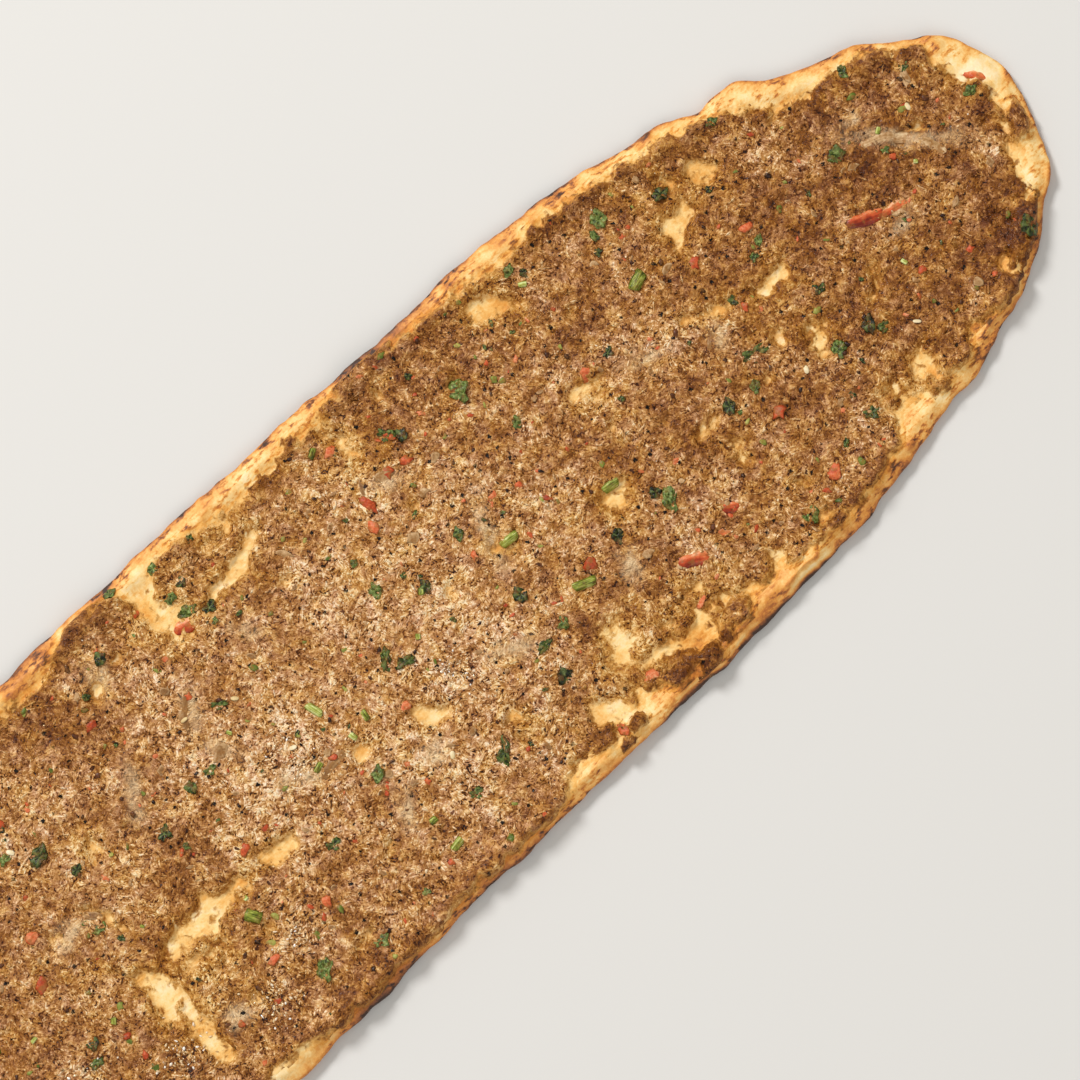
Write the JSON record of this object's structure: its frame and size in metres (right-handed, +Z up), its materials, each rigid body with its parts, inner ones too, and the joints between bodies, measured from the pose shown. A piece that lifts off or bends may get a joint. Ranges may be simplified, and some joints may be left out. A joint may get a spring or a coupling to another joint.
{
  "type": "turkish pide",
  "caption": "Long flat hand-stretched pide: thin bread with a low browned rim, spread almost to its edge with minced meat, onion and tomato, baked open.",
  "frame": {"origin": "middle of the underside, level with the table", "axes": "+X along the bread, towards the end that leans a little to -Y; +Y across it; +Z up, out of the meat"},
  "size_m": [0.74, 0.1638, 0.0084],
  "materials": {
    "bread": "matte baked dough, golden with browned spots",
    "mince": "moist, finely granular cooked meat",
    "onion": "soft, translucent and moist",
    "tomato": "soft and moist",
    "parsley": "wilted leaf"
  },
  "bodies": {
    "root": {"crust": "bread", "mince": "mince", "onion_1": "onion", "onion_2": "onion", "onion_3": "onion", "onion_4": "onion", "onion_5": "onion", "onion_6": "onion", "tomato_1": "tomato", "tomato_2": "tomato", "tomato_3": "tomato", "tomato_4": "tomato", "tomato_5": "tomato"}
  },
  "joints": []
}
